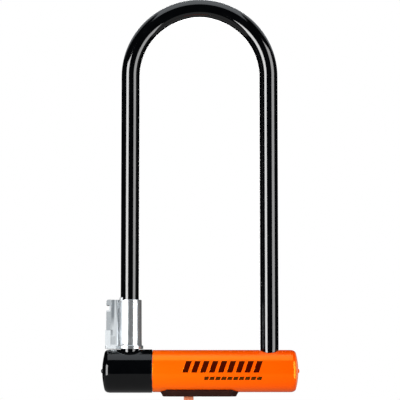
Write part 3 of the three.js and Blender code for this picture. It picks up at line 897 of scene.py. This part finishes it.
# ---------------------------------------------------------------- bracket adapter
def adapter_shell():
    """The bright shell round the left leg: its foot flange, and the long wall with a slit behind."""
    low = SHELL_LOW.z
    roll = 0.35 * MM
    top_roll = 0.45 * MM
    draft = 0.2 * MM
    wall = SHELL_TOP - FLANGE_TOP
    wall_steps = 8
    half_pi = math.pi / 2
    profile = [(ADAPTER_BORE, low)]
    profile += rolled_corner(FLANGE_R - roll, low + roll, roll, -half_pi)
    profile += rolled_corner(FLANGE_R - roll, FLANGE_TOP - roll, roll, 0)
    profile += [(SHELL_R + 0.3 * MM, FLANGE_TOP), (SHELL_R + 0.12 * MM, FLANGE_TOP + 0.3 * MM)]
    for k in range(1, wall_steps):
        profile.append((SHELL_R - draft * k / wall_steps, FLANGE_TOP + wall * k / wall_steps))
    profile += rolled_corner(SHELL_R - draft - top_roll, SHELL_TOP - top_roll, top_roll, 0)
    profile += rolled_corner(ADAPTER_BORE + top_roll, SHELL_TOP - top_roll, top_roll, half_pi)
    bm = bmesh.new()
    revolve(bm, profile, ADAPTER_LEG)
    shell = finished("adapter_shell", bm, "shackle", "silver_shell", ["adapter_sleeve"])
    slit_low = (-LEG_X - SLIT, 0, FLANGE_TOP + 2 * MM)
    slit_high = (-LEG_X + SLIT, SHELL_HIGH.y + MM, SHELL_TOP + 5 * MM)
    cut_with(shell, [block(slit_low, slit_high)])
    sharpen(shell)
    return shell


def adapter_lip():
    """The small tongue that stands up from the shell's rim on the rail's side."""
    half_turn = math.radians(44)
    outer = ADAPTER_BORE + 0.6 * MM
    steps = 28
    angles = [math.pi - half_turn + 2 * half_turn * k / steps for k in range(steps + 1)]
    outline = [Vector((outer * math.cos(a), outer * math.sin(a))) for a in angles]
    angles.reverse()
    outline += [Vector((ADAPTER_BORE * math.cos(a), ADAPTER_BORE * math.sin(a))) for a in angles]
    outline = [p + ADAPTER_LEG.xy for p in outline]
    bm = prism(outline, SHELL_TOP - 0.6 * MM, SHELL_HIGH.z, upright)
    lip = finished("adapter_lip", bm, "shackle", "silver_shell")
    soften(lip, 0.2 * MM)
    return lip


def adapter_lug(word, side):
    """A clamp lug behind the leg, drilled for the screw."""
    screw = centre("adapter_nut")
    low = screw.z - 7 * MM
    high = screw.z + 7 * MM
    front = SHELL_R - 1.2 * MM
    back = SHELL_HIGH.y
    outer = 5.4 * MM
    hole_r = 1.8 * MM
    ends = sorted((-LEG_X + side * SLIT, -LEG_X + side * outer))
    corners = [Vector(p) for p in ((front, low), (back, low), (back, high), (front, high))]
    outline = rounded_outline(corners, 2.2 * MM)
    bm = prism(outline, *ends, lambda p, level: Vector((level, p.x, p.y)))
    lug = finished(f"adapter_lug_{word}", bm, "shackle", "silver_shell")
    hole = Vector((0, hole_r, hole_r))
    drill = oval_rod(hole, ends[0] - MM, ends[1] + MM, Vector((0, screw.y, screw.z)))
    cut_with(lug, [drill])
    soften(lug, 0.4 * MM)
    return lug


def rail_foot():
    """The clear foot that the rail stands on, from the rail's outer face in to the shell's flange."""
    half = RAIL_HIGH.y
    left = SHELL_LOW.x + LEG_X
    corners = [Vector((0, half)), Vector((left, half)), Vector((left, -half)), Vector((0, -half))]
    outline = [p + ADAPTER_LEG.xy for p in rounded_outline(corners, 1.5 * MM)]
    foot = loose("foot", prism(outline, SHELL_LOW.z + 0.05 * MM, FLANGE_TOP, upright))
    ring = disc_prism(FLANGE_R - 0.15 * MM, ADAPTER_LEG, SHELL_LOW.z - MM, FLANGE_TOP + MM, ROUND)
    cut_with(foot, [ring])
    return foot


def rail_head():
    """The head plate: a flat foot, the slightly sunk grip zone, the catch notch and the tooth."""
    low = FLANGE_TOP - 0.5 * MM
    high = RAIL_HIGH.z
    left = RAIL_LOW.x + 0.8 * MM
    corner = 2.0 * MM
    notch_x = RAIL_LOW.x + 3.4 * MM
    points = [(RAIL_LOW.x, low), (RAIL_IN_X, low), (RAIL_IN_X, high)]
    points += rolled_corner(left + corner, high - corner, corner, math.pi / 2, 6)
    points += [(left, NOTCH_HIGH), (notch_x, NOTCH_HIGH), (notch_x, NOTCH_LOW + 0.6 * MM)]
    points += [(left + 0.8 * MM, NOTCH_LOW), (left, NOTCH_LOW)]
    points += [(left, GRIP_LOW), (RAIL_LOW.x, GRIP_LOW)]
    return prism([Vector(p) for p in points], RAIL_LOW.y, RAIL_HIGH.y, sideways)


def rail_details(front, back):
    """What stands out from the web's front face: the pad and the tapered gusset of the moulding."""
    pad = block((PAD_LOW[0], front, PAD_LOW[1]), (PAD_HIGH[0], back, PAD_HIGH[1]))
    low = RAIL_LOW.z
    gusset_left = RAIL_IN_X + 5.6 * MM
    gusset_right = RAIL_IN_X + 7.2 * MM
    outline = [(gusset_left, low), (gusset_right, low), (gusset_right, low + 10 * MM)]
    gusset = prism([Vector(p) for p in outline], front, back, sideways)
    return [pad, loose("gusset", gusset)]


def rail_block():
    """The clear T-shaped rail on its foot: a head plate with a catch notch, and a web back to the
    shell with a pad, a gusset and a slot for a pin."""
    high = RAIL_HIGH.z
    rail = finished("rail_block", rail_head(), "shackle", "clear_plastic", ["adapter_rail"])
    web_half = 5.2 * MM
    proud = 0.5 * MM
    front = -web_half - proud
    web = block((RAIL_IN_X - proud, -web_half, FLANGE_TOP - proud), (-LEG_X, web_half, high))
    cut_with(rail, [web, rail_foot(), *rail_details(front, -web_half + MM)], "UNION")
    seat = disc_prism(SHELL_R - 0.35 * MM, ADAPTER_LEG, FLANGE_TOP - 0.05 * MM, high + MM, ROUND)
    slot_low = (SLOT_LOW[0], front - MM, SLOT_LOW[1])
    slot_high = (SLOT_HIGH[0], -web_half + 2 * MM, SLOT_HIGH[1])
    cut_with(rail, [seat, block(slot_low, slot_high)])
    soften(rail, 0.3 * MM)
    return rail


# ---------------------------------------------------------------- dust cover and shutter
def strip_outline(left, right, half, cut_x, cut_y, radius):
    """A long strip about the X axis with its four corners cut off, and every corner rolled."""
    inner = half - cut_y
    corners = [
        (right, -inner),
        (right, inner),
        (right - cut_x, half),
        (left + cut_x, half),
        (left, inner),
        (left, -inner),
        (left + cut_x, -half),
        (right - cut_x, -half),
    ]
    return rounded_outline([Vector(c) for c in corners], radius, 5)


def shutter_outline(room, travel):
    """The shutter's plate seen from below, with that much room round it and travel to its left."""
    left = SHUTTER_LOW.x - travel - room
    right = SHUTTER_HIGH.x + room
    cut = 4.5 * MM
    return strip_outline(left, right, SHUTTER_HIGH.y + room, cut, cut, 0.8 * MM)


def tab_outline(room, travel):
    """The shutter's pull seen from below, in the same way."""
    left = TAB_LOW_X - travel - room
    right = TAB_HIGH_X + room
    half = TAB_HALF + room
    corners = [(left, -half), (right, -half), (right, half), (left, half)]
    return rounded_outline([Vector(c) for c in corners], 0.9 * MM)


def dust_block():
    """The dust cover's outside, drawn in towards its flat underside and rolled round its lower edge."""
    bottom = DUST_LOW.z
    roll = 1.3 * MM
    draft_x = 1.4 * MM
    draft_y = 0.9 * MM
    cut_x = 5.2 * MM
    cut_y = 4.4 * MM
    corner = 1.4 * MM
    levels = [(DUST_HIGH.z, 0.0, 0.0), (-COVER.z, 0.0, 0.0), (bottom + roll, 1.0, 0.0)]
    for share in shares(5, 1):
        angle = share * math.pi / 2
        levels.append((bottom + roll * (1 - math.sin(angle)), 1.0, roll * (1 - math.cos(angle))))
    rings = []
    for z, drawn_in, rolled in levels:
        half_x = DUST_HIGH.x - draft_x * drawn_in - rolled
        half_y = DUST_HIGH.y - draft_y * drawn_in - rolled
        outline = strip_outline(-half_x, half_x, half_y, cut_x, cut_y, corner)
        rings.append([upright(p, z) for p in outline])
    bm = bmesh.new()
    loft(bm, rings)
    return bm


def dust_frame():
    """The dark frame under the crossbar: the shutter's pocket, the slot for its pull, the keyhole
    and the two posts that clip it into the crossbar's tube."""
    bottom = DUST_LOW.z
    piece = finished("dust_frame", dust_block(), "crossbar", "black_plastic", ["dust_cover_frame"])
    pocket_outline = shutter_outline(SLIDE_GAP, SHUTTER_TRAVEL)
    pocket = prism(pocket_outline, PLATE_LOW - 0.2 * MM, SHUTTER_HIGH.z + 0.2 * MM, upright)
    slot = prism(tab_outline(SLIDE_GAP, SHUTTER_TRAVEL), bottom - MM, PLATE_LOW, upright)
    keyhole = disc_prism(KEYHOLE_R, (0, 0), bottom - MM, DUST_HIGH.z + MM)
    cut_with(piece, [loose("slot", slot), keyhole, loose("pocket", pocket)])
    soften(piece, 0.25 * MM, segments=2, angle=50)
    room = Vector((0, SLIDE_GAP, SLIDE_GAP))
    cut_with(piece, [oval_rod(COVER + room, DUST_LOW.x - MM, DUST_HIGH.x + MM)])
    post_low = SHUTTER_HIGH.z + 0.5 * MM
    posts = [disc_prism(POST_R, (x, 0), post_low, DUST_HIGH.z) for x in (-POST_X, POST_X)]
    cut_with(piece, posts, "UNION")
    sharpen(piece)
    return piece


def shutter():
    """The sliding shutter: a thin plate in the frame and the grooved pull that stands out below."""
    bm = prism(shutter_outline(0.0, 0.0), PLATE_LOW, SHUTTER_HIGH.z, upright)
    piece = finished("shutter_plate", bm, "shutter", "orange_plastic", ["dust_shutter"])
    pull = prism(tab_outline(0.0, 0.0), SHUTTER_LOW.z, PLATE_LOW + 0.5 * MM, upright)
    cut_with(piece, [loose("pull", pull)], "UNION")
    middle = (TAB_LOW_X + TAB_HIGH_X) / 2
    half_groove = 0.4 * MM
    groove_depth = 0.6 * MM
    groove_pitch = 2 * MM
    grooves = []
    for step in (-1, 0, 1):
        x = middle + step * groove_pitch
        groove_low = (x - half_groove, -TAB_HALF - MM, SHUTTER_LOW.z - MM)
        groove_high = (x + half_groove, TAB_HALF + MM, SHUTTER_LOW.z + groove_depth)
        grooves.append(block(groove_low, groove_high))
    cut_with(piece, grooves)
    soften(piece, 0.22 * MM, segments=3)
    return piece


# ---------------------------------------------------------------- carried-over CAD nodes
def finish_cad_nodes():
    """Gives every CAD node that still shows its slot's material, rolled edges and smooth round faces."""
    slots = {row["node"]: row["material_slot"] for row in frame["record"]["subparts"]}
    for name, node in frame["nodes"].items():
        node.data.materials.clear()
        node.data.materials.append(MATERIALS[slots[name]])
        shade_smooth(node, 30)
        rolled = roll_edges(node, 0.2 * MM, 2, 40)
        rolled.harden_normals = True


# ---------------------------------------------------------------- studio
def only_on(lamp, pieces):
    """Lets the lamp light and gloss those pieces alone."""
    lit = bpy.data.collections.new(lamp.name)
    for piece in pieces:
        lit.objects.link(piece)
    lamp.light_linking.receiver_collection = lit


def softbox(
    name, heading, distance, size, radiance, aim=(0, 0, 0.1), tone=(1, 1, 1), gloss=True, only=()
):
    """An area light aimed at aim. heading is its azimuth and elevation in degrees: azimuth 0 is
    towards the camera, and positive is to its right. Without gloss it makes no highlights. Where
    only names pieces, it lights nothing else."""
    azimuth, elevation = heading
    width, height = size
    aim = Vector(aim)
    data = bpy.data.lights.new(name, "AREA")
    data.shape = "RECTANGLE"
    data.size = width
    data.size_y = height
    data.energy = radiance * math.pi * width * height
    data.color = tone
    lamp = bpy.data.objects.new(name, data)
    bpy.context.scene.collection.objects.link(lamp)
    side = math.radians(azimuth)
    rise = math.radians(elevation)
    flat = math.cos(rise)
    way = Vector((math.sin(side) * flat, -math.cos(side) * flat, math.sin(rise)))
    lamp.location = aim + way * distance
    lamp.rotation_euler = way.to_track_quat("Z", "Y").to_euler()
    lamp.visible_camera = False
    lamp.visible_glossy = gloss
    if only:
        only_on(lamp, only)


def studio_world():
    """Seamless white to the camera. Clear plastic sees pale and dark panels all round, which draw
    its edges as lines, and everything else sees a dark room, so that only the softboxes light and
    gloss it."""
    panel_count = 8.0
    world = bpy.data.worlds.new("studio")
    bpy.context.scene.world = world
    world.use_nodes = True
    tree = world.node_tree
    tree.nodes.clear()
    direction = add_node(tree, "ShaderNodeTexCoord").outputs["Generated"]
    way = add_node(tree, "ShaderNodeSeparateXYZ", Vector=direction).outputs
    heading = math_node(tree, "ARCTAN2", way["X"], way["Y"])
    wave = math_node(tree, "COSINE", math_node(tree, "MULTIPLY", heading, panel_count))
    stripes = spread(tree, wave, 0.1, 1.0, -0.1, 0.6)
    panels = add_node(tree, "ShaderNodeBackground", Color=(0.97, 0.99, 1.0, 1.0), Strength=stripes)
    room = add_node(tree, "ShaderNodeBackground", Color=(1.0, 1.0, 1.0, 1.0), Strength=0.008)
    white = add_node(tree, "ShaderNodeBackground", Color=(1.0, 1.0, 1.0, 1.0), Strength=1.0)
    ray = add_node(tree, "ShaderNodeLightPath").outputs
    through = mixed_shader(tree, ray["Is Transmission Ray"], room, panels)
    seen = mixed_shader(tree, ray["Is Camera Ray"], through, white)
    tree.links.new(seen.outputs[0], add_node(tree, "ShaderNodeOutputWorld").inputs[0])


def floor():
    """A plain white floor that glows evenly, with a painted soft shadow close under the lock, where ambient
    occlusion dims the glow. From below it isn't there.
    """
    made = bpy.data.materials.new("floor")
    made.use_nodes = True
    tree = made.node_tree
    tree.nodes.clear()
    # Painted shadow: the glow dims where the lock stands close above the floor.
    near = add_node(tree, "ShaderNodeAmbientOcclusion", Distance=0.05)
    glow_with_painted_shadow = spread(tree, near.outputs["AO"], 0.55, 1.0, 0.0, 1.0)
    white = add_node(tree, "ShaderNodeEmission", Color=(1.0, 1.0, 1.0, 1.0), Strength=glow_with_painted_shadow)
    clear = add_node(tree, "ShaderNodeBsdfTransparent")
    under = add_node(tree, "ShaderNodeNewGeometry").outputs["Backfacing"]
    sheet = mixed_shader(tree, under, white, clear)
    tree.links.new(sheet.outputs[0], add_node(tree, "ShaderNodeOutputMaterial").inputs[0])
    reach = 6.0
    z = CAD_BOX[0][2]
    mesh = bpy.data.meshes.new("floor")
    corners = [(-reach, -reach, z), (reach, -reach, z), (reach, reach, z), (-reach, reach, z)]
    mesh.from_pydata(corners, [], [(0, 1, 2, 3)])
    mesh.materials.append(made)
    plane = bpy.data.objects.new("floor", mesh)
    bpy.context.scene.collection.objects.link(plane)
    plane.visible_glossy = False
    plane.visible_diffuse = False
    plane.visible_shadow = False


def studio(coat, cover, shell_pieces):
    """Two tall softboxes beside the camera and one overhead draw the highlights. Two lights without
    gloss fill the back and the front, and a pale card lies under the lock. The rest serve single
    pieces: the flank and the back of the bright shell, the arch's rim and a strip down the back of
    the shackle's coat, and the right end of the orange cover."""
    cool = (0.9, 0.95, 1.0)
    warm = (1.0, 0.93, 0.87)
    amber = (1.0, 0.9, 0.6)
    floor()
    studio_world()
    softbox("left_softbox", (-38.5, 1), 1.2, (0.6, 1.0), 9.5)
    softbox("right_softbox", (57, 1), 1.2, (0.72, 1.6), 4.3)
    softbox("top_softbox", (0, 76), 1.2, (1.2, 0.94), 1.3, tone=cool)
    softbox("back_softbox", (180, 30), 1.6, (1.2, 1.0), 3.5, gloss=False)
    softbox("left_wash", (-38.5, 0), 1.2, (0.6, 1.5), 1.6, gloss=False)
    softbox("bounce_card", (0, -90), 0.067, (1.0, 0.6), 0.25, aim=(0, 0.02, 0))
    softbox("shell_flank", (-92, 0), 1.2, (2.16, 0.9), 1.05, only=shell_pieces)
    softbox("shell_fill", (130, 0), 1.2, (1.8, 0.9), 0.05, tone=warm, only=shell_pieces)
    softbox("arch_rim", (180, 58), 1.2, (2.6, 1.2), 0.7, tone=cool, only=[coat])
    softbox("back_strip", (180, 0), 1.6, (0.35, 1.6), 6.0, only=[coat])
    softbox("cover_edge", (125, 0), 1.2, (1.6, 1.0), 0.7, tone=amber, only=[cover])


def camera():
    """1.5 m in front of the lock, level with the crossbar and tipped up to take in the shackle."""
    tipped_up = 5.49
    data = bpy.data.cameras.new("camera")
    data.lens = 160.2
    data.sensor_width = 36
    data.dof.use_dof = False
    data.clip_end = 50
    viewer = bpy.data.objects.new("camera", data)
    bpy.context.scene.collection.objects.link(viewer)
    viewer.location = (0.4 * MM, -1.5, 0)
    viewer.rotation_euler = (math.radians(90 + tipped_up), 0, 0)
    bpy.context.scene.camera = viewer


camera()
bpy.context.scene.view_settings.view_transform = "Standard"
finish_cad_nodes()
coat = shackle_coat()
shackle_steel()
cover = orange_cover()
black_boot()
shell = adapter_shell()
lip = adapter_lip()
lugs = [adapter_lug("left", -1), adapter_lug("right", 1)]
rail_block()
dust_frame()
shutter()
studio(coat, cover, [shell, lip, *lugs])
